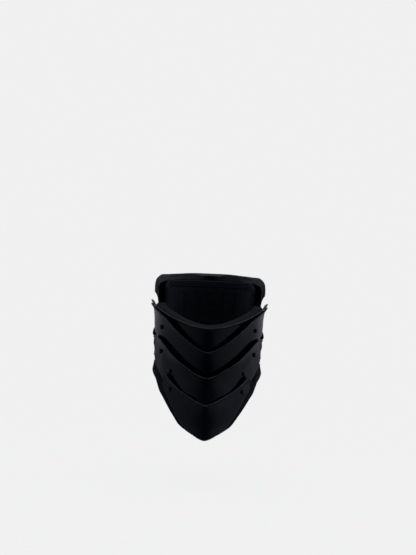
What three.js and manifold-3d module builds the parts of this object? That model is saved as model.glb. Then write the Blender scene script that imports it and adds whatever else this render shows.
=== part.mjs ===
// Steel gorget: four riveted throat lames in front, three nape lames behind, each half with a
// padded lining, and one leather strap inside each side that ties the two halves together.
// Millimetres, +Z up, the wearer looks along -Y, and +X is the wearer's left.
// The origin is the middle of the neck hollow, level with where the gorget sits on the shoulders.
//
// Every plate lies on one neck form, an oval tube whose axis leans forward. A place on it is
// [turn, height]: degrees round the neck from the throat (0) by the side (90) to the nape (180),
// and millimetres along the leaning axis. "Out" is how far a surface stands off that form.
import * as THREE from 'three';
import { mergeVertices } from 'three/addons/utils/BufferGeometryUtils.js';
import Module from 'manifold-3d';

const wasm = await Module();
wasm.setup();

// ---- Driving dimensions ----
const NECK_LEAN = 22;                  // degrees that the neck axis leans forward
const WAIST_HALF_WIDTH = 58.5;         // neck form at its narrowest
const WAIST_THROAT = 70;
const WAIST_NAPE = 68;
const SIDE_WAIST_HEIGHT = 38;          // height of the narrowest place, seen from the front
const THROAT_WAIST_HEIGHT = 12;        // and seen from the side

const STEEL = 1.5;
const LAME_OUT = 1.7;                  // outer face of a lame at its lower edge
const NEST_LEAD = 9;                   // a lame has stepped out this far below the edge it covers,
const NEST_CLIMB = 12;                 // over at least this height
const LIP_WIDTH = 3;                   // it ends in a lip this wide, along its top edge,
const LIP_OUT = 2.2;                   // that stands out this much more
const KEEL_TURNS = 14;                 // the keel of the last lame fades out over these degrees

const LINING_OUT = -4.8;
const LINING_THICKNESS = 5;
const LINING_ROLL = 4.4;               // the lining's free hem swells out by this much
const COLLAR_REACH = 13;               // the throat lining fills the collar's flare over this height,
const COLLAR_SWELL = 6.5;              // is this much thicker at its top,
const COLLAR_GAP = 0.6;                // stays this far inside the steel,
const COLLAR_END = 72;                 // and thins out again from this turn,
const COLLAR_FADE = 14;                // over this many degrees

const STRAP_OUT = 0;
const STRAP_THICKNESS = 2;

const RIVET_HEAD_RADIUS = 2.6;
const RIVET_HEAD_HEIGHT = 2.3;
const RIVET_SHANK_RADIUS = 1.2;
const RIVET_TAIL_RADIUS = 2;
const RIVET_TAIL_HEIGHT = 0.8;
const HOLE_RADIUS = 1.7;
const RIVET_SEAT_GAP = 0.8;            // a flat head on a curved plate stands this far off,
const RIVET_TAIL_GAP = 1.3;            // and its flat tail this far

// Outlines as [turn, height] points, from the throat (or nape) to the side.
const THROAT_LAMES = [
  {
    name: 'throat_lame_1', steps: 30, rows: 6,
    top: [[0, 59.3], [12, 60], [30, 62.6], [50, 65], [68, 66.2], [80, 65], [88, 61]],
    bottom: [[0, 14], [10, 16], [20, 21], [32, 29], [45, 35], [60, 36], [78, 38], [88, 45]],
    flare: [[0, 1], [20, 1.2], [45, 2.6], [60, 4.6], [75, 6.6], [88, 6.8]], flareLength: 45,
    nest: [[0, 0], [90, 0]], keel: 0,
  },
  {
    name: 'throat_lame_2', steps: 32, rows: 6,
    top: [[0, 29], [7, 31], [16, 36.6], [27, 44.6], [38, 52.6], [50, 60.8], [60, 63.8],
      [70, 63.8], [80, 61.2], [86, 56.4], [89, 51.5]],
    bottom: [[0, -16], [15, -14.5], [30, -13], [42, -11], [52, -5], [62, 1], [74, 5], [83, 9],
      [89, 20]],
    flare: [[0, 1.4], [15, 1.2], [45, 1.8], [70, 2.4], [89, 1.4]], flareLength: 20,
    nest: [[0, 2.2], [25, 2.4], [45, 3.6], [60, 5.2], [89, 5.4]], keel: 0,
  },
  {
    name: 'throat_lame_3', steps: 30, rows: 6,
    top: [[0, -2.2], [8, 0.2], [16, 5.2], [27, 11.8], [38, 19], [48, 26], [56, 29.4], [64, 28.4],
      [70, 24], [73, 16]],
    bottom: [[0, -46], [12, -43.5], [24, -38.5], [36, -31.5], [44, -21], [49, -16], [57, -10],
      [65, -5], [70, 0], [73, 8]],
    flare: [[0, 2.6], [15, 3], [45, 3.4], [73, 2.2]], flareLength: 20,
    nest: [[0, 3.1], [40, 3.4], [56, 4.2], [73, 4.2]], keel: 0,
  },
  {
    name: 'throat_lame_4', steps: 26, rows: 5,
    top: [[0, -31], [7, -28.4], [15, -24.4], [27, -18], [36, -12], [41, -8.8], [44, -9.4],
      [47, -14]],
    bottom: [[0, -64.2], [3, -63.6], [9, -61], [15, -57.5], [18, -55.5], [20, -53.8], [22.5, -51.4],
      [24, -49.2], [27, -44.6], [30, -40.4], [33, -36.5], [36, -32.8], [39, -29.2], [42, -26],
      [45, -22.2], [47, -18]],
    flare: [[0, 3], [15, 3.2], [36, 2.6], [47, 2]], flareLength: 16,
    nest: [[0, 2.8], [20, 3.4], [38, 5.1], [47, 5.3]], keel: 0.8,
  },
];
const NAPE_LAMES = [
  {
    name: 'nape_lame_1', steps: 28, rows: 4,
    top: [[180, 65], [150, 68], [130, 73], [114, 78.5], [105, 79], [97, 76], [92, 70], [89, 61]],
    bottom: [[180, 20], [150, 22], [130, 26], [115, 31], [98, 34], [89, 38]],
    flare: [[89, 2.5], [110, 3], [180, 3]], flareLength: 15,
    nest: [[0, 0], [180, 0]], keel: 0,
  },
  {
    name: 'nape_lame_2', steps: 26, rows: 5,
    top: [[180, 33], [150, 35], [130, 39], [113, 43.5], [98, 44.5], [91, 38]],
    bottom: [[180, -12], [150, -9], [130, -4], [110, 1], [98, 5], [91, 12]],
    flare: [[91, 1.5], [110, 3], [180, 4]], flareLength: 15,
    nest: [[0, 2.7], [180, 2.7]], keel: 0,
  },
  {
    name: 'nape_lame_3', steps: 26, rows: 5,
    top: [[180, 1], [150, 3], [130, 8], [113, 13], [99, 14.5], [93, 8]],
    bottom: [[180, -48], [150, -43], [130, -35], [115, -28], [101, -20], [93, -9]],
    flare: [[93, 1.5], [110, 3], [180, 4]], flareLength: 15,
    nest: [[0, 2.7], [180, 2.7]], keel: 0,
  },
];
const LININGS = [
  {
    name: 'throat_lining', steps: 30, rows: 12, sideRoll: 30, collar: true,
    top: [[0, 58.1], [12, 58.8], [30, 61.4], [50, 63.8], [68, 64.9], [78, 62.7], [86, 54], [90, 46]],
    bottom: [[0, -63.6], [6, -62.9], [12, -60.9], [18, -58.4], [24, -55.7], [30, -50.8],
      [36, -46.2], [42, -41.8], [48, -38], [54, -35.2], [60, -31], [66, -28], [80, -27],
      [87, -23], [90, -14]],
  },
  {
    name: 'nape_lining', steps: 28, rows: 5, sideRoll: 0, collar: false,
    top: [[180, 61], [150, 64], [130, 69], [114, 74.5], [104, 74], [97, 69], [93, 60]],
    bottom: [[180, -53], [150, -48], [130, -40], [115, -32], [104, -23], [97, -15], [93, -4]],
  },
];
const STRAP = { from: 68, to: 116, middle: 23, width: 14, steps: 10 };

// Rivets as [turn, height] on the side where X is positive, with the pieces that each one joins,
// from the outside in.
const RIVETS = [
  { name: 'throat_rivet_1', at: [57.5, 43.5], joins: ['throat_lame_2', 'throat_lame_1'] },
  { name: 'throat_rivet_2', at: [57, 12], joins: ['throat_lame_3', 'throat_lame_2'] },
  { name: 'throat_rivet_3', at: [40, -5], joins: ['throat_lame_3', 'throat_lame_2'] },
  { name: 'throat_rivet_4', at: [36, -23.4], joins: ['throat_lame_4', 'throat_lame_3'] },
  { name: 'strap_rivet_front', at: [84, 24], joins: ['throat_lame_2', 'STRAP'] },
  { name: 'strap_rivet_back', at: [107, 23], joins: ['nape_lame_2', 'STRAP'] },
  { name: 'nape_rivet_1', at: [120, 33], joins: ['nape_lame_2', 'nape_lame_1'] },
  { name: 'nape_rivet_2', at: [120, 4], joins: ['nape_lame_3', 'nape_lame_2'] },
];

const BLACK_STEEL = { color: 0x15171a, roughness: 0.35, metalness: 0.6 };
const LINING_CLOTH = { color: 0x34373c, roughness: 0.95, metalness: 0 };
const STRAP_LEATHER = { color: 0x1b1918, roughness: 0.7, metalness: 0 };
const RIVET_STEEL = { color: 0x0e0f11, roughness: 0.4, metalness: 0.6 };

// ---- The neck form ----
const radians = (degrees) => degrees * Math.PI / 180;
const clamp01 = (value) => Math.min(1, Math.max(0, value));
const smooth = (value) => clamp01(value) ** 2 * (3 - 2 * clamp01(value));

function halfWidth(height) {
  const above = Math.max(0, height - SIDE_WAIST_HEIGHT) / 38;
  const below = Math.max(0, SIDE_WAIST_HEIGHT - height) / 118;
  return WAIST_HALF_WIDTH + 2 * above ** 2 + 26 * below ** 1.8;
}

function depth(height, atBack) {
  const above = Math.max(0, height - THROAT_WAIST_HEIGHT) / 64;
  const below = Math.max(0, THROAT_WAIST_HEIGHT - height) / 92;
  if (atBack) return WAIST_NAPE + 4 * above ** 2 + 34 * below ** 2;
  return WAIST_THROAT + 4 * above ** 2 + 62 * below ** 2;
}

function onForm(turn, height, out) {
  const angle = radians(turn);
  const lean = radians(NECK_LEAN);
  const across = (halfWidth(height) + out) * Math.sin(angle);
  const forward = -(depth(height, Math.cos(angle) < 0) + out) * Math.cos(angle);
  return new THREE.Vector3(
    across,
    forward * Math.cos(lean) - height * Math.sin(lean),
    forward * Math.sin(lean) + height * Math.cos(lean),
  );
}

// Outward direction of a piece's face, over a patch as wide as a rivet head.
function normalAt(outer, turn, height) {
  const onFace = (t, h) => onForm(t, h, outer(t, h));
  const round = onFace(turn + 2, height).sub(onFace(turn - 2, height));
  const up = onFace(turn, height + 2).sub(onFace(turn, height - 2));
  return round.cross(up).normalize();
}

// Height of an outline at a turn: a cubic through the points whose slopes never overshoot, level
// where it crosses the middle plane.
function heightAt(outline, turn) {
  const points = [...outline].sort((a, b) => a[0] - b[0]);
  const last = points.length - 1;
  const t = Math.abs(turn);
  const chord = (i) => (points[i + 1][1] - points[i][1]) / (points[i + 1][0] - points[i][0]);
  const slope = (i) => {
    if (points[i][0] % 180 === 0) return 0;
    if (i === 0) return chord(0);
    if (i === last) return chord(last - 1);
    const before = chord(i - 1);
    const after = chord(i);
    return before * after <= 0 ? 0 : 2 * before * after / (before + after);
  };
  let i = 0;
  while (i < last - 1 && t > points[i + 1][0]) i += 1;
  const span = points[i + 1][0] - points[i][0];
  const u = clamp01((t - points[i][0]) / span);
  const start = (1 + 2 * u) * (1 - u) ** 2 * points[i][1] + u * (1 - u) ** 2 * span * slope(i);
  return start + u * u * (3 - 2 * u) * points[i + 1][1] - u * u * (1 - u) * span * slope(i + 1);
}

// ---- Solids ----
function solidOf(geometry) {
  const bare = geometry.clone();
  bare.deleteAttribute('normal');
  bare.deleteAttribute('uv');
  const merged = mergeVertices(bare, 1e-4);
  return new wasm.Manifold(new wasm.Mesh({
    numProp: 3,
    vertProperties: new Float32Array(merged.attributes.position.array),
    triVerts: new Uint32Array(merged.index.array),
  }));
}

function geometryOf(solid) {
  const mesh = solid.getMesh();
  const geometry = new THREE.BufferGeometry();
  geometry.setAttribute('position', new THREE.BufferAttribute(new Float32Array(mesh.vertProperties), 3));
  geometry.setIndex([...mesh.triVerts]);
  geometry.computeVertexNormals();
  return geometry;
}

// A wall between two surfaces over one patch of the form: outer(turn, height) and
// thickness(turn, height), with a row of corners at each of the levels(turn).
function wall(turns, levels, outer, thickness) {
  const positions = [];
  const indices = [];
  const columns = turns.length;
  const rowCount = levels(turns[0]).length - 1;
  for (const inner of [0, 1]) {
    for (let row = 0; row <= rowCount; row += 1) {
      for (const turn of turns) {
        const height = levels(turn)[row];
        const out = outer(turn, height) - inner * thickness(turn, height);
        const place = onForm(turn, height, out);
        positions.push(place.x, place.y, place.z);
      }
    }
  }
  const index = (inner, row, column) => (inner * (rowCount + 1) + row) * columns + column;
  const quad = (a, b, c, d) => indices.push(a, b, c, a, c, d);
  for (let row = 0; row < rowCount; row += 1) {
    for (let column = 0; column < columns - 1; column += 1) {
      quad(index(0, row, column), index(0, row, column + 1), index(0, row + 1, column + 1),
        index(0, row + 1, column));
      quad(index(1, row, column), index(1, row + 1, column), index(1, row + 1, column + 1),
        index(1, row, column + 1));
    }
    quad(index(0, row, 0), index(0, row + 1, 0), index(1, row + 1, 0), index(1, row, 0));
    quad(index(0, row, columns - 1), index(1, row, columns - 1), index(1, row + 1, columns - 1),
      index(0, row + 1, columns - 1));
  }
  for (let column = 0; column < columns - 1; column += 1) {
    quad(index(0, 0, column), index(1, 0, column), index(1, 0, column + 1), index(0, 0, column + 1));
    quad(index(0, rowCount, column), index(0, rowCount, column + 1),
      index(1, rowCount, column + 1), index(1, rowCount, column));
  }
  const geometry = new THREE.BufferGeometry();
  geometry.setAttribute('position', new THREE.Float32BufferAttribute(positions, 3));
  geometry.setIndex(indices);
  return geometry;
}

// Turns from one side edge to the other, symmetric about the throat or the nape.
function turnsOf(piece) {
  const ends = piece.top.map((point) => point[0]);
  const atNape = Math.max(...ends) === 180;
  const edge = atNape ? Math.min(...ends) : -Math.max(...ends);
  const span = atNape ? 2 * (180 - edge) : -2 * edge;
  return Array.from({ length: piece.steps + 1 }, (_, i) => edge + span * i / piece.steps);
}

// The nape runs on past 180 degrees to the other side, where the outlines repeat.
const folded = (turn) => (Math.abs(turn) > 180 ? 360 - Math.abs(turn) : Math.abs(turn));

// Heights from low to high, evenly spaced.
const evenly = (low, high, count) => (
  Array.from({ length: count + 1 }, (_, i) => low + (high - low) * i / count)
);

// Outer face of a lame: it steps out over the lame above it, flares toward its top edge and ends
// in a lip, and the last throat lame has a soft keel down its middle.
function lameOuter(lames, number) {
  const lame = lames[number];
  const above = lames[number - 1];
  return (turn, height) => {
    const side = folded(turn);
    const full = above ? heightAt(above.bottom, side) - NEST_LEAD : 0;
    const start = Math.min(heightAt(lame.bottom, side), full - NEST_CLIMB);
    const climb = above ? clamp01((height - start) / (full - start)) ** 2 : 0;
    const down = heightAt(lame.top, side) - height;
    const flare = heightAt(lame.flare, side) * clamp01(1 - down / lame.flareLength) ** 2;
    const lip = LIP_OUT * clamp01(1 - down / LIP_WIDTH) ** 2;
    const keel = lame.keel * clamp01(1 - side / KEEL_TURNS);
    return LAME_OUT + heightAt(lame.nest, side) * climb + flare + lip + keel;
  };
}

// How far the throat lining has swollen into the collar: 1 along its top, 0 below and at its ends.
function collarShare(lining, turn, height) {
  const side = folded(turn);
  if (!lining.collar) return 0;
  const rise = smooth(1 - (heightAt(lining.top, side) - height) / COLLAR_REACH);
  return rise * (1 - smooth((side - COLLAR_END) / COLLAR_FADE));
}

function liningOuter(lining) {
  const collarLame = lameOuter(THROAT_LAMES, 0);
  return (turn, height) => {
    const side = folded(turn);
    const reach = 10 + lining.sideRoll * smooth((side - 58) / 20);
    const roll = 1 - smooth((height - heightAt(lining.bottom, side)) / reach);
    const plain = LINING_OUT + LINING_ROLL * roll;
    const filled = collarLame(turn, height) - STEEL - COLLAR_GAP;
    return plain + (filled - plain) * collarShare(lining, turn, height);
  };
}

// ---- Pieces ----
const gorget = new THREE.Group();
const solids = new Map();
const outers = new Map();

function addPiece(name, solid, look) {
  const mesh = new THREE.Mesh(geometryOf(solid), new THREE.MeshStandardMaterial(look));
  mesh.name = name;
  gorget.add(mesh);
}

function makePlate(piece, outer, thickness) {
  const levels = (turn) => {
    const low = heightAt(piece.bottom, folded(turn));
    const high = heightAt(piece.top, folded(turn));
    return [...evenly(low, high - LIP_WIDTH, piece.rows - 1), high];
  };
  solids.set(piece.name, solidOf(wall(turnsOf(piece), levels, outer, thickness)));
  outers.set(piece.name, outer);
}

for (const lames of [THROAT_LAMES, NAPE_LAMES]) {
  lames.forEach((lame, number) => makePlate(lame, lameOuter(lames, number), () => STEEL));
}
for (const lining of LININGS) {
  const swell = (turn, height) => COLLAR_SWELL * collarShare(lining, turn, height);
  makePlate(lining, liningOuter(lining), (turn, height) => LINING_THICKNESS + swell(turn, height));
}

const SIDES = [
  { name: 'left', sign: 1 },
  { name: 'right', sign: -1 },
];

for (const side of SIDES) {
  const turns = Array.from({ length: STRAP.steps + 1 },
    (_, i) => STRAP.from + (STRAP.to - STRAP.from) * i / STRAP.steps);
  const round = side.sign > 0 ? turns : turns.map((turn) => -turn).reverse();
  const edges = [STRAP.middle - STRAP.width / 2, STRAP.middle + STRAP.width / 2];
  const strapName = `side_strap_${side.name}`;
  const strapOuter = () => STRAP_OUT;
  const strap = wall(round, () => edges, strapOuter, () => STRAP_THICKNESS);
  solids.set(strapName, solidOf(strap));
  outers.set(strapName, strapOuter);
}

// A rivet: a domed head, a shank through both pieces and a flattened tail, turned about its axis.
function rivetProfile(length) {
  const dome = new THREE.EllipseCurve(0, 0, RIVET_HEAD_RADIUS, RIVET_HEAD_HEIGHT, 0, Math.PI / 2);
  const head = dome.getPoints(3).reverse();
  head[0].x = 0;
  head[head.length - 1].y = 0;
  return [
    ...head,
    new THREE.Vector2(RIVET_SHANK_RADIUS, 0),
    new THREE.Vector2(RIVET_SHANK_RADIUS, -length),
    new THREE.Vector2(RIVET_TAIL_RADIUS, -length),
    new THREE.Vector2(RIVET_TAIL_RADIUS, -length - RIVET_TAIL_HEIGHT),
    new THREE.Vector2(0, -length - RIVET_TAIL_HEIGHT),
  ].reverse();
}

for (const rivet of RIVETS) {
  for (const side of SIDES) {
    const turn = rivet.at[0] * side.sign;
    const height = rivet.at[1];
    const joined = rivet.joins.map((name) => (name === 'STRAP' ? `side_strap_${side.name}` : name));
    const outer = outers.get(joined[0]);
    const normal = normalAt(outer, turn, height);
    const outerOut = outer(turn, height);
    const innerThickness = joined[1].startsWith('side_strap') ? STRAP_THICKNESS : STEEL;
    const innerOut = outers.get(joined[1])(turn, height) - innerThickness;
    const seat = onForm(turn, height, outerOut + RIVET_SEAT_GAP);
    const turned = new THREE.Quaternion().setFromUnitVectors(new THREE.Vector3(0, 1, 0), normal);
    const place = (geometry) => geometry.applyQuaternion(turned).translate(seat.x, seat.y, seat.z);
    const length = outerOut - innerOut + RIVET_SEAT_GAP + RIVET_TAIL_GAP;
    addPiece(`${rivet.name}_${side.name}`,
      solidOf(place(new THREE.LatheGeometry(rivetProfile(length), 8))), RIVET_STEEL);
    const drill = solidOf(place(new THREE.CylinderGeometry(HOLE_RADIUS, HOLE_RADIUS, 24, 6)));
    for (const name of joined) {
      solids.set(name, solids.get(name).subtract(drill));
    }
  }
}

for (const [name, solid] of solids) {
  const look = name.includes('lame') ? BLACK_STEEL : name.includes('lining') ? LINING_CLOTH : STRAP_LEATHER;
  addPiece(name, solid, look);
}

export default gorget;
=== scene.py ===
# Steel gorget: four black throat lames and three black nape lames, riveted together over two
# padded cloth linings, with a leather strap inside each side that ties the halves together.
# Metres, +Z up, the wearer looks along -Y and +X is the wearer's left.
from math import cos, exp, pi, radians, sin

import bmesh
import bpy
from mathutils import Matrix, Vector, noise
from mathutils.bvhtree import BVHTree


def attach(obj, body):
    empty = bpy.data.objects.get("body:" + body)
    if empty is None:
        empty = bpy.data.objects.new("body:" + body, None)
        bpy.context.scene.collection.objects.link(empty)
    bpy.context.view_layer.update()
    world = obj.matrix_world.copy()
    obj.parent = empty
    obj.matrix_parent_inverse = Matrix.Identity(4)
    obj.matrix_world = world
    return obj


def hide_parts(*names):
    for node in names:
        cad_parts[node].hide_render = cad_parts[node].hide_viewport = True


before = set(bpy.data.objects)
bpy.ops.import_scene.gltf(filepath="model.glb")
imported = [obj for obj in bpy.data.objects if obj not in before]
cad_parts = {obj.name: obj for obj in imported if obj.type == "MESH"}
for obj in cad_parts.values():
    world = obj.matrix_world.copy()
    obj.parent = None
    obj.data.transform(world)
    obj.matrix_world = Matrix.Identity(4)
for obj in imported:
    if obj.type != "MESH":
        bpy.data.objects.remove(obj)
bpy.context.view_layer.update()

scene = bpy.context.scene

# ---- Camera ----
# A long lens 1.4 m in front of the collar, level with its top edge, and turned a little about
# its own axis, so the gorget stands slightly tilted in the frame.
MM = 0.001
CAMERA_PLACE = (-3.2, -1400, 85)
CAMERA_LENS = 74.43
CAMERA_ROLL = 2.4

camera = bpy.data.objects.new("camera", bpy.data.cameras.new("camera"))
camera.data.lens = CAMERA_LENS
camera.data.clip_end = 20
camera.matrix_world = (Matrix.Translation([value * MM for value in CAMERA_PLACE])
                       @ Matrix.Rotation(radians(90), 4, "X")
                       @ Matrix.Rotation(radians(CAMERA_ROLL), 4, "Z"))
scene.collection.objects.link(camera)
scene.camera = camera
scene.view_settings.view_transform = "Standard"


# ---- Throat lame 1 ----
# The collar plate under the chin: 1.5 mm mild steel, cut as a flat blank, rolled round the neck,
# its top edge flared and curled outward, then lacquered black. All plates lie on one neck form,
# a leaning oval tube: a place on it is degrees round, millimetres along, and millimetres out.
NECK_LEAN = radians(22)
WAIST_HALF_WIDTH = 58.5
WAIST_THROAT = 70
WAIST_NAPE = 68
# The form widens from its waist over these heights, and by this much.
SIDE_WAIST_HEIGHT = 38
SIDE_ABOVE, TOP_WIDENS = 38, 2
SIDE_BELOW, BASE_WIDENS = 118, 26
THROAT_WAIST_HEIGHT = 12
DEPTH_ABOVE, TOP_DEEPENS = 64, 4
DEPTH_BELOW, THROAT_DEEPENS, NAPE_DEEPENS = 92, 62, 34
STEEL = 1.5
LAME_OUT = 1.7
NEST_LEAD = 9
NEST_CLIMB = 12
LIP_WIDTH = 3
LIP_OUT = 2.2
KEEL_TURNS = 14
EDGE_ROUNDING = 0.45
RIM_ANGLE = 60
EDGE_STRIPS = (0, 1, 2, 3)
CORNER = 3
WAVE_SIZE = 26
WAVE_DEPTH = 0.08
MM_PER_DEGREE = 1.07


def on_form(turn, height, out):
    """The place on the neck form, in metres."""
    angle = radians(turn)
    above = max(0, height - SIDE_WAIST_HEIGHT) / SIDE_ABOVE
    below = max(0, SIDE_WAIST_HEIGHT - height) / SIDE_BELOW
    half_width = WAIST_HALF_WIDTH + TOP_WIDENS * above ** 2 + BASE_WIDENS * below ** 1.8
    above = max(0, height - THROAT_WAIST_HEIGHT) / DEPTH_ABOVE
    below = max(0, THROAT_WAIST_HEIGHT - height) / DEPTH_BELOW
    at_nape = cos(angle) < 0
    waist, spread = (WAIST_NAPE, NAPE_DEEPENS) if at_nape else (WAIST_THROAT, THROAT_DEEPENS)
    depth = waist + TOP_DEEPENS * above ** 2 + spread * below ** 2
    across = (half_width + out) * sin(angle)
    forward = -(depth + out) * cos(angle)
    return Vector((across,
                   forward * cos(NECK_LEAN) - height * sin(NECK_LEAN),
                   forward * sin(NECK_LEAN) + height * cos(NECK_LEAN))) * MM


def outline_at(points, turn):
    """Height of an outline at a turn: a cubic whose slopes never overshoot, the same both sides."""
    points = sorted(points)
    side = min(abs(turn), 360 - abs(turn))
    last = len(points) - 1

    def chord(i):
        return (points[i + 1][1] - points[i][1]) / (points[i + 1][0] - points[i][0])

    def slope(i):
        if points[i][0] % 180 == 0:
            return 0
        if i in (0, last):
            return chord(min(i, last - 1))
        before, after = chord(i - 1), chord(i)
        return 0 if before * after <= 0 else 2 * before * after / (before + after)

    i = 0
    while i < last - 1 and side > points[i + 1][0]:
        i += 1
    span = points[i + 1][0] - points[i][0]
    u = min(1, max(0, (side - points[i][0]) / span))
    start = (1 + 2 * u) * (1 - u) ** 2 * points[i][1] + u * (1 - u) ** 2 * span * slope(i)
    return start + u * u * (3 - 2 * u) * points[i + 1][1] - u * u * (1 - u) * span * slope(i + 1)


def edges_at(piece, turn):
    """Heights of a piece's lower and upper edge at a turn."""
    return outline_at(piece["bottom"], turn), outline_at(piece["top"], turn)


def clamp(value):
    return min(1, max(0, value))


def lame_out(lame, turn, height):
    """A lame steps out over the lame above it, flares toward its top edge and ends in a curled
    lip; the last one has a soft keel down its middle."""
    out = LAME_OUT + lame.get("keel", 0) * clamp(1 - abs(turn) / KEEL_TURNS)
    down = outline_at(lame["top"], turn) - height
    if lame["above"]:
        full = outline_at(lame["above"]["bottom"], turn) - NEST_LEAD
        start = min(outline_at(lame["bottom"], turn), full - NEST_CLIMB)
        out += outline_at(lame["nest"], turn) * clamp((height - start) / (full - start)) ** 2
    out += LIP_OUT * clamp(1 - down / LIP_WIDTH) ** 2
    return out + outline_at(lame["flare"], turn) * clamp(1 - down / lame["flare_length"]) ** 2


def along(index, count, length, strips):
    """Where line index of count lies: narrow strips of real width at both ends, even between."""
    inner = len(strips) - 1
    if index <= inner:
        return strips[index]
    if count - index <= inner:
        return length - strips[count - index]
    return strips[inner] + (length - 2 * strips[inner]) * (index - inner) / (count - 2 * inner)


def formed_sheet(piece, out, columns, rows, strips, corner):
    """A flat blank, its ends drawn in by corner at their tips, bent round the neck form. Each
    vertex keeps its distance from the cut edge."""
    sheet = bmesh.new()
    bmesh.ops.create_grid(sheet, x_segments=columns, y_segments=rows, size=1)
    edge = sheet.verts.layers.float.new("edge")
    blank = sheet.loops.layers.uv.new("blank")
    ends = [point[0] for point in piece["top"]]
    first, last = (min(ends), 360 - min(ends)) if max(ends) == 180 else (-max(ends), max(ends))
    first, last = piece.get("turns", (first, last))
    width = (last - first) * MM_PER_DEGREE
    laid = {}
    for vert in sheet.verts:
        column = round((vert.co.x + 1) / 2 * columns)
        row = round((vert.co.y + 1) / 2 * rows)
        across = along(column, columns, width, strips)
        from_end = min(across, width - across)
        cut = corner * exp(-from_end / corner / 2) * abs(2 * row / rows - 1) ** 4
        across += cut if across < width / 2 else -cut
        turn = first + across / MM_PER_DEGREE
        low, high = edges_at(piece, turn)
        up = along(row, rows, high - low, strips)
        vert[edge] = min(from_end, up, high - low - up)
        laid[vert] = (turn * MM_PER_DEGREE, low + up)
        vert.co = on_form(turn, low + up, out(turn, low + up))
    for face in sheet.faces:
        face.smooth = True
        for loop in face.loops:
            loop[blank].uv = laid[loop.vert]
    return sheet


def wall(sheet, thickness, inner_place=None):
    """Gives a sheet its thickness: inward along its normals, or in to each vertex's own place."""
    sheet.normal_update()
    inward = sheet.verts.layers.float_vector.new("inward")
    for vert in sheet.verts:
        vert[inward] = (inner_place(vert) - vert.co if inner_place
                        else vert.normal * -thickness * MM)
    everything = sheet.verts[:] + sheet.edges[:] + sheet.faces[:]
    inner = bmesh.ops.extrude_face_region(sheet, geom=everything, use_keep_orig=True)["geom"]
    for part in inner:
        if isinstance(part, bmesh.types.BMVert):
            part.co += part[inward]
    sheet.verts.layers.float_vector.remove(inward)
    bmesh.ops.recalc_face_normals(sheet, faces=sheet.faces[:])


def shade_smooth(mesh):
    for face in mesh.faces:
        face.smooth = True


def round_rim(sheet, rounding, segments):
    """Rounds the cut edges of a walled sheet."""
    rim = [line for line in sheet.edges if line.calc_face_angle(0) > radians(RIM_ANGLE)]
    bmesh.ops.bevel(sheet, geom=rim, offset=rounding * MM, offset_type="OFFSET",
                    affect="EDGES", segments=segments, profile=0.5, material=-1,
                    clamp_overlap=False)
    shade_smooth(sheet)


def add_piece(name, mesh, material, nodes):
    """Makes the finished mesh a piece of the gorget that stands for its CAD nodes."""
    data = bpy.data.meshes.new(name)
    mesh.to_mesh(data)
    mesh.free()
    data.materials.append(material)
    piece = bpy.data.objects.new(name, data)
    scene.collection.objects.link(piece)
    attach(piece, "root")
    if nodes:
        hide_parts(*nodes)
    return piece


def linear(colour):
    """An sRGB hex colour as linear RGBA."""
    parts = [int(colour[i:i + 2], 16) / 255 for i in (1, 3, 5)]
    return [p / 12.92 if p <= 0.04045 else ((p + 0.055) / 1.055) ** 2.4 for p in parts] + [1]


def add_node(material, kind, inputs=None, **settings):
    """Adds a node with its settings, and fills or links its inputs."""
    tree = material.node_tree
    node = tree.nodes.new(kind)
    for name, value in settings.items():
        setattr(node, name, value)
    for socket, value in (inputs or {}).items():
        if isinstance(value, bpy.types.NodeSocket):
            tree.links.new(value, node.inputs[socket])
        else:
            node.inputs[socket].default_value = value
    return node


def per_metre(size):
    """Texture scale of a pattern this many millimetres across."""
    return 1000 / size


def new_material(name):
    material = bpy.data.materials.new(name)
    material.use_nodes = True
    material.node_tree.nodes.clear()
    return material


def finish_material(material, shader, inputs):
    """The material's surface shader, with its constants on its own sockets."""
    node = add_node(material, shader, inputs)
    add_node(material, "ShaderNodeOutputMaterial", {"Surface": node.outputs[0]})
    return material


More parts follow.
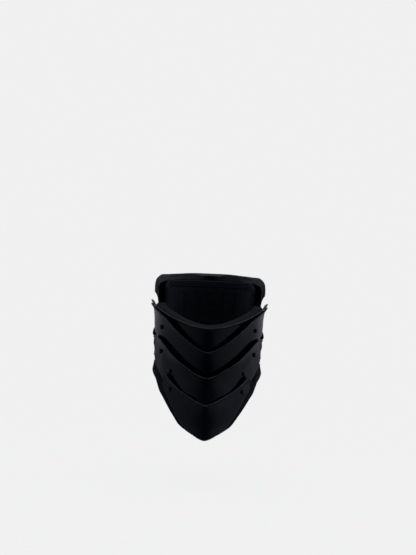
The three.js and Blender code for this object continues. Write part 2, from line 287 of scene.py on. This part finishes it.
def black_steel():
    """Mild steel under a thin baked lacquer: nearly black with a soft gloss, cloudy, with faint
    orange peel and hairlines from cleaning, and greyer along the edges: partly lacquer worn
    through, partly a painted highlight along the lips."""
    material = new_material("satin_black_lacquered_steel")
    place = add_node(material, "ShaderNodeTexCoord").outputs["Object"]
    cloud = add_node(material, "ShaderNodeTexNoise", {
        "Vector": place, "Scale": per_metre(34), "Detail": 4, "Roughness": 0.6}).outputs["Fac"]
    peel = add_node(material, "ShaderNodeTexNoise", {
        "Vector": place, "Scale": per_metre(1.3), "Detail": 2}).outputs["Fac"]
    stretched = add_node(material, "ShaderNodeMapping", {
        "Vector": place, "Rotation": (0.3, 0.5, 0.2), "Scale": (1, 1, 0.05)}).outputs[0]
    hairline = add_node(material, "ShaderNodeTexNoise", {
        "Vector": stretched, "Scale": per_metre(0.9), "Detail": 3}).outputs["Fac"]
    hairline = add_node(material, "ShaderNodeMapRange", {
        "Value": hairline, "From Min": 0.62, "From Max": 0.74}).outputs[0]
    edge = add_node(material, "ShaderNodeAttribute", attribute_name="edge").outputs["Fac"]
    # Painted highlight: over the last millimetre of every edge the colour turns grey, partly
    # lacquer worn through and partly a highlight painted along the lips.
    rubbed_and_painted_highlight = add_node(material, "ShaderNodeMapRange", {
        "Value": edge, "From Min": 0.3, "From Max": 1.3, "To Min": 1, "To Max": 0}).outputs[0]
    patchy = add_node(material, "ShaderNodeTexNoise", {
        "Vector": place, "Scale": per_metre(6), "Detail": 3}).outputs["Fac"]
    patchy = add_node(material, "ShaderNodeMapRange", {
        "Value": patchy, "From Min": 0.35, "From Max": 0.65, "To Min": 0.5}).outputs[0]
    rubbed_and_painted_highlight = add_node(material, "ShaderNodeMath", {0: rubbed_and_painted_highlight, 1: patchy},
                      operation="MULTIPLY").outputs[0]
    lacquer = add_node(material, "ShaderNodeMix", {
        "Factor": cloud, "A": linear("#050608"), "B": linear("#0a0b0e")}, data_type="RGBA")
    colour = add_node(material, "ShaderNodeMix", {
        "Factor": rubbed_and_painted_highlight, "A": lacquer.outputs["Result"], "B": linear("#474a51")},
        data_type="RGBA")
    rough = add_node(material, "ShaderNodeMapRange", {
        "Value": cloud, "From Min": 0.3, "From Max": 0.7, "To Min": 0.13,
        "To Max": 0.19}).outputs[0]
    rough = add_node(material, "ShaderNodeMath", {0: hairline, 1: 0.12, 2: rough},
                     operation="MULTIPLY_ADD").outputs[0]
    bump = add_node(material, "ShaderNodeBump", {
        "Height": peel, "Strength": 0.4, "Distance": 0.006 * MM}).outputs[0]
    return finish_material(material, "ShaderNodeBsdfPrincipled", {
        "Base Color": colour.outputs["Result"], "Roughness": rough, "Normal": bump})


STEEL_FINISH = black_steel()


def make_lame(lame, columns, rows):
    """One plate: blank, bent to the form with the slight waves of hand-worked sheet."""
    def out(turn, height):
        wave = noise.noise(on_form(turn, height, 0) * 1000 / WAVE_SIZE)
        return lame_out(lame, turn, height) + WAVE_DEPTH * wave

    sheet = formed_sheet(lame, out, columns, rows, EDGE_STRIPS, CORNER)
    wall(sheet, STEEL)
    round_rim(sheet, EDGE_ROUNDING, 3)
    return add_piece("black_" + lame["name"], sheet, STEEL_FINISH, [lame["name"]])


throat_1 = {
    "name": "throat_lame_1", "above": None,
    "top": [(0, 59.3), (12, 60), (30, 62.6), (50, 65), (68, 66.2), (80, 65), (88, 61)],
    "bottom": [(0, 14), (10, 16), (20, 21), (32, 29), (45, 35), (60, 36), (78, 38), (88, 45)],
    "flare": [(0, 1), (20, 1.2), (45, 2.6), (60, 4.6), (75, 6.6), (88, 6.8)],
    "flare_length": 45,
}
make_lame(throat_1, 110, 30)

# ---- Throat lame 2 ----
# The widest plate. It wraps both sides of the neck, its top edge dips to a point under the
# collar and stands well off it at the sides, and two rivets hang it on lame 1.
throat_2 = {
    "name": "throat_lame_2", "above": throat_1,
    "top": [(0, 29), (7, 31), (16, 36.6), (27, 44.6), (38, 52.6), (50, 60.8), (60, 63.8),
            (70, 63.8), (80, 61.2), (86, 56.4), (89, 51.5)],
    "bottom": [(0, -16), (15, -14.5), (30, -13), (42, -11), (52, -5), (62, 1), (74, 5),
               (83, 9), (89, 20)],
    "flare": [(0, 1.4), (15, 1.2), (45, 1.8), (70, 2.4), (89, 1.4)], "flare_length": 20,
    "nest": [(0, 2.2), (25, 2.4), (45, 3.6), (60, 5.2), (89, 5.4)],
}
make_lame(throat_2, 120, 40)

# ---- Throat lame 3 ----
# Same sheet and the same dipped top edge, narrower, with four rivets into lame 2.
throat_3 = {
    "name": "throat_lame_3", "above": throat_2,
    "top": [(0, -2.2), (8, 0.2), (16, 5.2), (27, 11.8), (38, 19), (48, 26), (56, 29.4),
            (64, 28.4), (70, 24), (73, 16)],
    "bottom": [(0, -46), (12, -43.5), (24, -38.5), (36, -31.5), (44, -21), (49, -16),
               (57, -10), (65, -5), (70, 0), (73, 8)],
    "flare": [(0, 2.6), (15, 3), (45, 3.4), (73, 2.2)], "flare_length": 20,
    "nest": [(0, 3.1), (40, 3.4), (56, 4.2), (73, 4.2)],
}
make_lame(throat_3, 110, 38)

# ---- Throat lame 4 ----
# The lowest plate, a blunt shield shape that lies on the breastbone and hangs from two rivets.
throat_4 = {
    "name": "throat_lame_4", "above": throat_3,
    "top": [(0, -31), (7, -28.4), (15, -24.4), (27, -18), (36, -12), (41, -8.8), (44, -9.4),
            (47, -14)],
    "bottom": [(0, -64.2), (3, -63.6), (9, -61), (15, -57.5), (18, -55.5), (20, -53.8),
               (22.5, -51.4), (24, -49.2), (27, -44.6), (30, -40.4), (33, -36.5), (36, -32.8),
               (39, -29.2), (42, -26), (45, -22.2), (47, -18)],
    "flare": [(0, 3), (15, 3.2), (36, 2.6), (47, 2)], "flare_length": 16,
    "keel": 0.8,
    "nest": [(0, 2.8), (20, 3.4), (38, 5.1), (47, 5.3)],
}
make_lame(throat_4, 84, 30)

# ---- Nape lames ----
# Three plates of the same sheet behind the neck, each lapped over the one above and riveted at
# both sides.
nape_1 = {
    "name": "nape_lame_1", "above": None,
    "top": [(180, 65), (150, 68), (130, 73), (114, 78.5), (105, 79), (97, 76), (92, 70),
            (89, 61)],
    "bottom": [(180, 20), (150, 22), (130, 26), (115, 31), (98, 34), (89, 38)],
    "flare": [(89, 2.5), (110, 3), (180, 3)], "flare_length": 15,
}
nape_2 = {
    "name": "nape_lame_2", "above": nape_1,
    "top": [(180, 33), (150, 35), (130, 39), (113, 43.5), (98, 44.5), (91, 38)],
    "bottom": [(180, -12), (150, -9), (130, -4), (110, 1), (98, 5), (91, 12)],
    "flare": [(91, 1.5), (110, 3), (180, 4)], "flare_length": 15,
    "nest": [(0, 2.7), (180, 2.7)],
}
nape_3 = {
    "name": "nape_lame_3", "above": nape_2,
    "top": [(180, 1), (150, 3), (130, 8), (113, 13), (99, 14.5), (93, 8)],
    "bottom": [(180, -48), (150, -43), (130, -35), (115, -28), (101, -20), (93, -9)],
    "flare": [(93, 1.5), (110, 3), (180, 4)], "flare_length": 15,
    "nest": [(0, 2.7), (180, 2.7)],
}
for nape in (nape_1, nape_2, nape_3):
    make_lame(nape, 110, 36)


# ---- Throat lining ----
# Two layers of charcoal cotton canvas over 5 mm wadding, sewn through in upright channels,
# thickened to a rolled collar along the top, and bound with folded tape. It hangs inside the
# throat lames, and its hem shows below them.
LINING_OUT = -4.8
LINING_ROLL = 4.4
ROLL_REACH = 10
SIDE_ROLL_FROM, SIDE_ROLL_TURNS = 58, 20
COLLAR_REACH = 13
COLLAR_SWELL = 6.5
COLLAR_GAP = 0.6
COLLAR_END = 72
COLLAR_FADE = 14
PAD_EDGE = 3.0
PAD_ROUNDING = 1.3
PAD_CORNER = 9
PAD_CROWN = 1.7
CROWN_RISE = 5
CHANNEL_RISE = 4
CRINKLE, CRINKLE_SIZE, CRINKLE_START = 0.35, 9, 12
SEAM_STOP = 14
FAR_FROM_SEAMS = 99
TAPE_STRIPS = (0, 0.9, 2.4, 4, 5.6, 7.2)
TAPE_THICKNESS = 0.5
TAPE_STITCH_INSET = 1.6
RUN_STEPS = 30
WEAVE_PITCH = 1.4
RIB_PITCH = 1.0
STITCH_LENGTH = 3.2
STITCH_PITCH = 4.6
THREAD_RADIUS = 0.36


def bands(pitch):
    """Wave texture scale of bands this far apart."""
    return pi / 10 / pitch


def canvas():
    """Plain-woven cotton: dull charcoal, lighter on the thread crowns, slightly faded in
    patches. The threads are 0.6 mm apart in life and drawn 1.4 mm apart so that they show."""
    material = new_material("charcoal_cotton_canvas")
    laid = add_node(material, "ShaderNodeUVMap", uv_map="blank").outputs[0]
    warp, weft = [add_node(material, "ShaderNodeTexWave", {
        "Vector": laid, "Scale": bands(WEAVE_PITCH), "Distortion": 0.6, "Detail Scale": 2},
        bands_direction=direction).outputs["Fac"] for direction in ("X", "Y")]
    weave = add_node(material, "ShaderNodeMath", {0: warp, 1: weft},
                     operation="MULTIPLY").outputs[0]
    place = add_node(material, "ShaderNodeTexCoord").outputs["Object"]
    faded = add_node(material, "ShaderNodeTexNoise", {
        "Vector": place, "Scale": per_metre(22), "Detail": 5, "Roughness": 0.65}).outputs["Fac"]
    cloth = add_node(material, "ShaderNodeMix", {
        "Factor": faded, "A": linear("#16181c"), "B": linear("#22252b")}, data_type="RGBA")
    colour = add_node(material, "ShaderNodeMix", {
        "Factor": weave, "A": cloth.outputs["Result"], "B": linear("#2d3036")},
        data_type="RGBA")
    rough = add_node(material, "ShaderNodeMapRange", {
        "Value": weave, "To Min": 0.98, "To Max": 0.86}).outputs[0]
    bump = add_node(material, "ShaderNodeBump", {
        "Height": weave, "Strength": 0.6, "Distance": 0.25 * MM}).outputs[0]
    return finish_material(material, "ShaderNodeBsdfPrincipled", {
        "Base Color": colour.outputs["Result"], "Roughness": rough, "Normal": bump,
        "Specular IOR Level": 0.2, "Sheen Weight": 0.05, "Sheen Roughness": 0.6})


def tape():
    """Ribbed cotton binding tape, a shade darker than the canvas, its ribs 1 mm apart."""
    material = new_material("black_ribbed_binding_tape")
    laid = add_node(material, "ShaderNodeUVMap", uv_map="blank").outputs[0]
    ribs = add_node(material, "ShaderNodeTexWave", {
        "Vector": laid, "Scale": bands(RIB_PITCH), "Distortion": 0.3},
        bands_direction="DIAGONAL").outputs["Fac"]
    place = add_node(material, "ShaderNodeTexCoord").outputs["Object"]
    worn = add_node(material, "ShaderNodeTexNoise", {
        "Vector": place, "Scale": per_metre(12), "Detail": 4}).outputs["Fac"]
    cloth = add_node(material, "ShaderNodeMix", {
        "Factor": worn, "A": linear("#131518"), "B": linear("#1e2125")}, data_type="RGBA")
    colour = add_node(material, "ShaderNodeMix", {
        "Factor": ribs, "A": cloth.outputs["Result"], "B": linear("#26292e")},
        data_type="RGBA")
    rough = add_node(material, "ShaderNodeMapRange", {
        "Value": ribs, "To Min": 0.9, "To Max": 0.72}).outputs[0]
    bump = add_node(material, "ShaderNodeBump", {
        "Height": ribs, "Strength": 0.6, "Distance": 0.15 * MM}).outputs[0]
    return finish_material(material, "ShaderNodeBsdfPrincipled", {
        "Base Color": colour.outputs["Result"], "Roughness": rough, "Normal": bump,
        "Specular IOR Level": 0.3})


def thread():
    """Waxed polyester thread: dark grey with the short twist of its plies."""
    material = new_material("grey_waxed_thread")
    place = add_node(material, "ShaderNodeTexCoord").outputs["Object"]
    twist = add_node(material, "ShaderNodeTexNoise", {
        "Vector": place, "Scale": per_metre(0.5), "Detail": 1}).outputs["Fac"]
    colour = add_node(material, "ShaderNodeMix", {
        "Factor": twist, "A": linear("#191b1f"), "B": linear("#32353b")}, data_type="RGBA")
    bump = add_node(material, "ShaderNodeBump", {
        "Height": twist, "Strength": 0.5, "Distance": 0.1 * MM}).outputs[0]
    return finish_material(material, "ShaderNodeBsdfPrincipled", {
        "Base Color": colour.outputs["Result"], "Roughness": 0.55, "Normal": bump})


CANVAS, TAPE, THREAD = canvas(), tape(), thread()


def smooth(value):
    """Eases from 0 at 0 to 1 at 1."""
    return clamp(value) ** 2 * (3 - 2 * clamp(value))


def collar_share(lining, turn, height):
    """How far the pad has swollen into the collar: 1 along its top, 0 below and at its ends."""
    if not lining["collar"]:
        return 0
    rise = smooth(1 - (outline_at(lining["top"], turn) - height) / COLLAR_REACH)
    return rise * (1 - smooth((abs(turn) - COLLAR_END) / COLLAR_FADE))


def lining_out(lining, turn, height):
    """The lining lies off the steel, swells out to it along its free hem, and fills the
    collar's flare."""
    side = min(abs(turn), 360 - abs(turn))
    reach = ROLL_REACH + lining["side_roll"] * smooth((side - SIDE_ROLL_FROM) / SIDE_ROLL_TURNS)
    rise = smooth((height - outline_at(lining["bottom"], turn)) / reach)
    plain = LINING_OUT + LINING_ROLL * (1 - rise)
    filled = lame_out(throat_1, turn, height) - STEEL - COLLAR_GAP
    return plain + (filled - plain) * collar_share(lining, turn, height)


def sew(stitches, skin, run):
    """A row of stitches along run, places just off the cloth, laid on the skin under them."""
    left = 0
    for here, there in zip(run, run[1:]):
        step = (there - here).length / MM
        while left < step:
            spot, normal, _, _ = skin.find_nearest(here.lerp(there, left / step))
            forward = (there - here).normalized()
            sideways = normal.cross(forward).normalized()
            turned = Matrix((sideways.cross(normal), sideways, normal)).transposed().to_4x4()
            size = Matrix.Diagonal((STITCH_LENGTH / 2, THREAD_RADIUS, THREAD_RADIUS)).to_4x4()
            bmesh.ops.create_uvsphere(stitches, u_segments=6, v_segments=5, radius=MM,
                                      matrix=Matrix.Translation(spot) @ turned @ size)
            left += STITCH_PITCH
        left -= step


def make_lining(lining, columns, rows):
    """The pad, its binding tape and its stitching."""
    def out(turn, height):
        return lining_out(lining, turn, height)

    pad = formed_sheet(lining, out, columns, rows, TAPE_STRIPS, PAD_CORNER)
    blank = pad.loops.layers.uv["blank"]

    def inner_place(vert):
        turn, height = vert.link_loops[0][blank].uv
        turn /= MM_PER_DEGREE
        thickness = PAD_EDGE + COLLAR_SWELL * collar_share(lining, turn, height)
        return on_form(turn, height, out(turn, height) - thickness)

    wall(pad, PAD_EDGE, inner_place)
    round_rim(pad, PAD_ROUNDING, 4)
    edge = pad.verts.layers.float["edge"]
    pad.normal_update()
    swollen = {}
    for vert in pad.verts:
        laid = vert.link_loops[0][blank].uv
        channel = min(abs(laid.x - seam * MM_PER_DEGREE) for seam in lining["seams"])
        channel = FAR_FROM_SEAMS if vert[edge] < SEAM_STOP else channel
        from_tape = max(0, vert[edge] - TAPE_STRIPS[-1])
        crown = PAD_CROWN * (1 - exp(-from_tape / CROWN_RISE)) * (1 - exp(-channel / CHANNEL_RISE))
        crinkle = CRINKLE * noise.noise(vert.co * 1000 / CRINKLE_SIZE)
        crinkle *= clamp(vert[edge] / CRINKLE_START)
        swollen[vert] = vert.co + vert.normal * (crown + crinkle) * MM
    for vert, place in swollen.items():
        vert.co = place

    binding = pad.copy()
    rim = binding.verts.layers.float["edge"]
    inside = [face for face in binding.faces
              if max(vert[rim] for vert in face.verts) > TAPE_STRIPS[-1] + 0.1]
    bmesh.ops.delete(binding, geom=inside, context="FACES")
    binding.normal_update()
    for vert in binding.verts:
        vert.co += vert.normal * TAPE_THICKNESS * MM
    wall(binding, TAPE_THICKNESS)

    stitches = bmesh.new()
    first, last = lining["turns"]
    round_steps = 2 * RUN_STEPS
    turns = [first + (last - first) * i / round_steps for i in range(3, round_steps - 2)]
    inset = TAPE_STRIPS[-1] - TAPE_STITCH_INSET
    side = inset / MM_PER_DEGREE
    edge_runs = [[(turn, outline_at(lining["bottom"], turn) + inset) for turn in turns],
                 [(turn, outline_at(lining["top"], turn) - inset) for turn in turns]]
    for turn in (first + side, last - side):
        low, high = edges_at(lining, turn)
        edge_runs.append([(turn, low + (high - low) * i / RUN_STEPS)
                          for i in range(3, RUN_STEPS - 2)])
    seam_runs = []
    for turn in lining["seams"]:
        low, high = edges_at(lining, turn)
        span = high - low - 2 * SEAM_STOP
        seam_runs.append([(turn, low + SEAM_STOP + span * i / RUN_STEPS)
                          for i in range(RUN_STEPS + 1)])
    for cloth, runs in ((binding, edge_runs), (pad, seam_runs)):
        skin = BVHTree.FromBMesh(cloth)
        for stand in (3, -PAD_EDGE - 4):
            for run in runs:
                sew(stitches, skin, [on_form(t, h, out(t, h) + stand) for t, h in run])
    shade_smooth(stitches)

    name = lining["name"]
    made = add_piece("quilted_" + name, pad, CANVAS, [name])
    add_piece(name + "_binding", binding, TAPE, [])
    add_piece(name + "_stitching", stitches, THREAD, [])


throat_lining = {
    "name": "throat_lining", "turns": (-90, 90), "side_roll": 30, "collar": True,
    "top": [(0, 58.1), (12, 58.8), (30, 61.4), (50, 63.8), (68, 64.9), (78, 62.7), (86, 54),
            (90, 46)],
    "bottom": [(0, -63.6), (6, -62.9), (12, -60.9), (18, -58.4), (24, -55.7), (30, -50.8),
               (36, -46.2), (42, -41.8), (48, -38), (54, -35.2), (60, -31), (66, -28),
               (80, -27), (87, -23), (90, -14)],
    "seams": (-60, -36, -12, 12, 36, 60),
}
make_lining(throat_lining, 130, 84)

# ---- Nape lining ----
# The other half of the padding, of the same canvas and tape, inside the nape lames.
nape_lining = {
    "name": "nape_lining", "turns": (93, 267), "side_roll": 0, "collar": False,
    "top": [(180, 61), (150, 64), (130, 69), (114, 74.5), (104, 74), (97, 69), (93, 60)],
    "bottom": [(180, -53), (150, -48), (130, -40), (115, -32), (104, -23), (97, -15), (93, -4)],
    "seams": (140, 160, 180, 200, 220),
}
make_lining(nape_lining, 130, 84)


# ---- Side straps ----
# A 14 mm band of 2 mm vegetable-tanned leather, dyed black, riveted inside both halves at each
# side, with rounded edges and a line of stitching near them.
STRAP_FROM, STRAP_TO = 68, 116
STRAP_LOW, STRAP_HIGH = 16, 30
STRAP_THICKNESS = 2
STRAP_ROUNDING = 0.5
STRAP_STRIPS = (0, 0.7)
STRAP_CORNER = 4
STRAP_STITCH_INSET = 2.2
STRAP_STITCH_END = 4


def leather():
    """Dyed leather: black-brown, pebbled grain about 1 mm across, paler where it creases."""
    material = new_material("black_dyed_leather")
    place = add_node(material, "ShaderNodeTexCoord").outputs["Object"]
    grain = add_node(material, "ShaderNodeTexVoronoi", {
        "Vector": place, "Scale": per_metre(1.1)}).outputs["Distance"]
    creased = add_node(material, "ShaderNodeTexNoise", {
        "Vector": place, "Scale": per_metre(7), "Detail": 5}).outputs["Fac"]
    colour = add_node(material, "ShaderNodeMix", {
        "Factor": creased, "A": linear("#12100f"), "B": linear("#2b2623")},
        data_type="RGBA")
    rough = add_node(material, "ShaderNodeMapRange", {
        "Value": creased, "From Min": 0.3, "From Max": 0.7, "To Min": 0.5,
        "To Max": 0.68}).outputs[0]
    bump = add_node(material, "ShaderNodeBump", {
        "Height": grain, "Strength": 0.5, "Distance": 0.15 * MM}).outputs[0]
    return finish_material(material, "ShaderNodeBsdfPrincipled", {
        "Base Color": colour.outputs["Result"], "Roughness": rough, "Normal": bump})


def strap_out(turn, height):
    """The strap's outer face lies on the neck form."""
    return 0


LEATHER = leather()
for side, sign in (("left", 1), ("right", -1)):
    turns = sorted((STRAP_FROM * sign, STRAP_TO * sign))
    strap = {"turns": turns, "top": [(STRAP_FROM, STRAP_HIGH), (STRAP_TO, STRAP_HIGH)],
             "bottom": [(STRAP_FROM, STRAP_LOW), (STRAP_TO, STRAP_LOW)]}
    band = formed_sheet(strap, strap_out, 48, 14, STRAP_STRIPS, STRAP_CORNER)
    wall(band, STRAP_THICKNESS)
    round_rim(band, STRAP_ROUNDING, 3)
    stitches = bmesh.new()
    skin = BVHTree.FromBMesh(band)
    sewn_turns = range(turns[0] + STRAP_STITCH_END, turns[1] - STRAP_STITCH_END + 1)
    for height in (STRAP_LOW + STRAP_STITCH_INSET, STRAP_HIGH - STRAP_STITCH_INSET):
        sew(stitches, skin, [on_form(turn, height, 1) for turn in sewn_turns])
    shade_smooth(stitches)
    add_piece(f"leather_side_strap_{side}", band, LEATHER, [f"side_strap_{side}"])
    add_piece(f"side_strap_stitching_{side}", stitches, THREAD, [])


# ---- Rivets ----
# Solid steel rivets with 5 mm domed heads, set hot through two plates or a plate and the strap,
# peened over inside, and blackened with the plates.
HEAD_RADIUS = 2.6
HEAD_HEIGHT = 2.3
SHANK_RADIUS = 1.2
TAIL_RADIUS = 2
TAIL_HEIGHT = 0.8
HEAD_RIM = 0.3
CROWN_ROUNDNESS = 0.6
SEAT_LIFT = 0.1
FACE_PATCH = 2


def rivet_black():
    """Blackened steel: as dark as the plates, a little duller, with small hammer marks."""
    material = new_material("gloss_black_rivet_steel")
    place = add_node(material, "ShaderNodeTexCoord").outputs["Object"]
    dents = add_node(material, "ShaderNodeTexNoise", {
        "Vector": place, "Scale": per_metre(1.6), "Detail": 3}).outputs["Fac"]
    colour = add_node(material, "ShaderNodeMix", {
        "Factor": dents, "A": linear("#040405"), "B": linear("#0a0b0d")}, data_type="RGBA")
    rough = add_node(material, "ShaderNodeMapRange", {
        "Value": dents, "From Min": 0.3, "From Max": 0.7, "To Min": 0.14,
        "To Max": 0.24}).outputs[0]
    bump = add_node(material, "ShaderNodeBump", {
        "Height": dents, "Strength": 0.4, "Distance": 0.06 * MM}).outputs[0]
    return finish_material(material, "ShaderNodeBsdfPrincipled", {
        "Base Color": colour.outputs["Result"], "Roughness": rough, "Normal": bump})


def spun_rivet(grip):
    """A rivet about Z: flat-crowned dome above zero, shank of length grip, flattened tail."""
    dome = [(HEAD_RADIUS * abs(cos(radians(a))) ** CROWN_ROUNDNESS,
             HEAD_RIM + (HEAD_HEIGHT - HEAD_RIM) * sin(radians(a)) ** CROWN_ROUNDNESS)
            for a in range(90, -1, -9)]
    profile = [(0, dome[0][1])] + dome[1:] + [
        (HEAD_RADIUS, 0.1), (HEAD_RADIUS - HEAD_RIM, -0.1), (SHANK_RADIUS, -0.1),
        (SHANK_RADIUS, -grip), (TAIL_RADIUS, -grip), (TAIL_RADIUS - 0.1, -grip - 0.5),
        (TAIL_RADIUS - 0.6, -grip - TAIL_HEIGHT), (0, -grip - TAIL_HEIGHT)]
    rivet = bmesh.new()
    corners = [rivet.verts.new((radius * MM, 0, height * MM)) for radius, height in profile]
    lines = [rivet.edges.new(pair) for pair in zip(corners, corners[1:])]
    bmesh.ops.spin(rivet, geom=corners + lines, cent=(0, 0, 0), axis=(0, 0, 1),
                   angle=2 * pi, steps=28, use_merge=True)
    bmesh.ops.remove_doubles(rivet, verts=rivet.verts[:], dist=0.001 * MM)
    bmesh.ops.recalc_face_normals(rivet, faces=rivet.faces[:])
    shade_smooth(rivet)
    return rivet


def out_of(lame):
    return lambda turn, height: lame_out(lame, turn, height)


RIVETS = [
    # name, turn, height, face under the head, face of the piece behind, and its thickness
    ("throat_rivet_1", 57.5, 43.5, out_of(throat_2), out_of(throat_1), STEEL),
    ("throat_rivet_2", 57, 12, out_of(throat_3), out_of(throat_2), STEEL),
    ("throat_rivet_3", 40, -5, out_of(throat_3), out_of(throat_2), STEEL),
    ("throat_rivet_4", 36, -23.4, out_of(throat_4), out_of(throat_3), STEEL),
    ("strap_rivet_front", 84, 24, out_of(throat_2), strap_out, STRAP_THICKNESS),
    ("strap_rivet_back", 107, 23, out_of(nape_2), strap_out, STRAP_THICKNESS),
    ("nape_rivet_1", 120, 33, out_of(nape_2), out_of(nape_1), STEEL),
    ("nape_rivet_2", 120, 4, out_of(nape_3), out_of(nape_2), STEEL),
]
RIVET_FINISH = rivet_black()
for name, turn, height, outer, inner, behind in RIVETS:
    for side, sign in (("left", 1), ("right", -1)):
        def on_face(t, h):
            return on_form(t * sign, h, outer(t, h))

        seat = on_face(turn, height)
        round_face = on_face(turn + FACE_PATCH, height) - on_face(turn - FACE_PATCH, height)
        up_face = on_face(turn, height + FACE_PATCH) - on_face(turn, height - FACE_PATCH)
        normal = (round_face * sign).cross(up_face).normalized()
        grip = outer(turn, height) - inner(turn, height) + behind + 2 * SEAT_LIFT
        rivet = spun_rivet(grip)
        rivet.transform(Matrix.Translation(seat + normal * SEAT_LIFT * MM)
                        @ normal.to_track_quat("Z", "Y").to_matrix().to_4x4())
        add_piece(f"domed_{name}_{side}", rivet, RIVET_FINISH, [f"{name}_{side}"])


# ---- Studio ----
# A pale seamless floor and backdrop, large soft boxes at both sides and overhead, and a dim
# grey room that is darkest in front, where the camera stands.
FLOOR_HEIGHT = -166
FLOOR_GLOW = 0.835
BACKDROP = 0.871
BACKDROP_RADIUS = 6


def stage_object(name, mesh, material):
    data = bpy.data.meshes.new(name)
    mesh.to_mesh(data)
    mesh.free()
    data.materials.append(material)
    made = bpy.data.objects.new(name, data)
    scene.collection.objects.link(made)
    made.visible_glossy = False
    made.visible_diffuse = False
    made.visible_shadow = False
    return made


backdrop_paint = finish_material(new_material("backdrop"), "ShaderNodeEmission", {
    "Color": linear("#ffffff"), "Strength": BACKDROP})
dome = bmesh.new()
bmesh.ops.create_uvsphere(dome, u_segments=32, v_segments=16, radius=BACKDROP_RADIUS)
stage_object("backdrop", dome, backdrop_paint)

floor_paint = new_material("pale_floor")
place = add_node(floor_paint, "ShaderNodeTexCoord").outputs["Object"]
distance = add_node(floor_paint, "ShaderNodeVectorMath", {0: place}, operation="LENGTH")
far = add_node(floor_paint, "ShaderNodeMapRange", {
    "Value": distance.outputs["Value"], "From Min": 0.15, "From Max": 0.9},
    interpolation_type="SMOOTHSTEP").outputs[0]
matte = add_node(floor_paint, "ShaderNodeBsdfDiffuse", {"Color": linear("#707070")})
glow = add_node(floor_paint, "ShaderNodeEmission", {"Strength": FLOOR_GLOW})
lit = add_node(floor_paint, "ShaderNodeAddShader", {0: matte.outputs[0], 1: glow.outputs[0]})
seamless = add_node(floor_paint, "ShaderNodeEmission", {"Strength": BACKDROP})
finish_material(floor_paint, "ShaderNodeMixShader", {
    0: far, 1: lit.outputs[0], 2: seamless.outputs[0]})
floor = bmesh.new()
bmesh.ops.create_grid(floor, x_segments=8, y_segments=8, size=5.5,
                      matrix=Matrix.Translation((0, 0, FLOOR_HEIGHT * MM)))
stage_object("floor", floor, floor_paint)

SOFT_BOXES = [
    # name, place, width, height, power; each looks at the origin
    ("soft_box_right", (1.8, 0.3, 0.1), 1.2, 1.2, 0.35),
    ("soft_box_left", (-1.8, 0.5, 0.2), 1, 1, 0.25),
    ("soft_box_top", (0, -0.7, 1.6), 1.4, 1.2, 3.6),
]
for name, where, width, height, power in SOFT_BOXES:
    light = bpy.data.lights.new(name, "AREA")
    light.shape = "RECTANGLE"
    light.size = width
    light.size_y = height
    light.energy = power
    box = bpy.data.objects.new(name, light)
    box.location = where
    box.rotation_euler = (Vector() - Vector(where)).to_track_quat("-Z", "Y").to_euler()
    scene.collection.objects.link(box)

world = bpy.data.worlds.new("studio")
scene.world = world
world.use_nodes = True
world.node_tree.nodes.clear()
# Azimuth from the front, positive to +X, then how bright and how cool the room is that way.
ROOM = [
    (-180, 0.2, 0.21, 0.24), (-120, 0.16, 0.17, 0.21), (-75, 0.15, 0.162, 0.205),
    (-45, 0.13, 0.14, 0.185), (-24, 0.07, 0.085, 0.118), (-12, 0.018, 0.03, 0.046),
    (-2, 0.01, 0.018, 0.032), (10, 0.012, 0.022, 0.038), (18, 0.05, 0.06, 0.085),
    (26, 0.12, 0.13, 0.17), (45, 0.2, 0.214, 0.28), (75, 0.22, 0.235, 0.3),
    (120, 0.19, 0.2, 0.24), (180, 0.2, 0.21, 0.24),
]
facing = add_node(world, "ShaderNodeTexCoord").outputs["Generated"]
part = add_node(world, "ShaderNodeSeparateXYZ", {0: facing}).outputs
ahead = add_node(world, "ShaderNodeMath", {0: part["Y"], 1: -1},
                 operation="MULTIPLY").outputs[0]
azimuth = add_node(world, "ShaderNodeMath", {0: part["X"], 1: ahead},
                   operation="ARCTAN2").outputs[0]
azimuth = add_node(world, "ShaderNodeMapRange", {
    "Value": azimuth, "From Min": -pi, "From Max": pi}).outputs[0]
ramp = add_node(world, "ShaderNodeValToRGB", {"Fac": azimuth})
stops = ramp.color_ramp.elements
for turn, red, green, blue in ROOM[1:-1]:
    stops.new((turn + 180) / 360).color = (red, green, blue, 1)
stops[0].color = (*ROOM[0][1:], 1)
stops[-1].color = (*ROOM[-1][1:], 1)
below = add_node(world, "ShaderNodeMapRange", {
    "Value": part["Z"], "From Min": -0.95, "From Max": -0.15,
    "To Min": 0.42, "To Max": 1}).outputs[0]
sky = add_node(world, "ShaderNodeBackground", {"Color": ramp.outputs["Color"], "Strength": below})
add_node(world, "ShaderNodeOutputWorld", {"Surface": sky.outputs[0]})
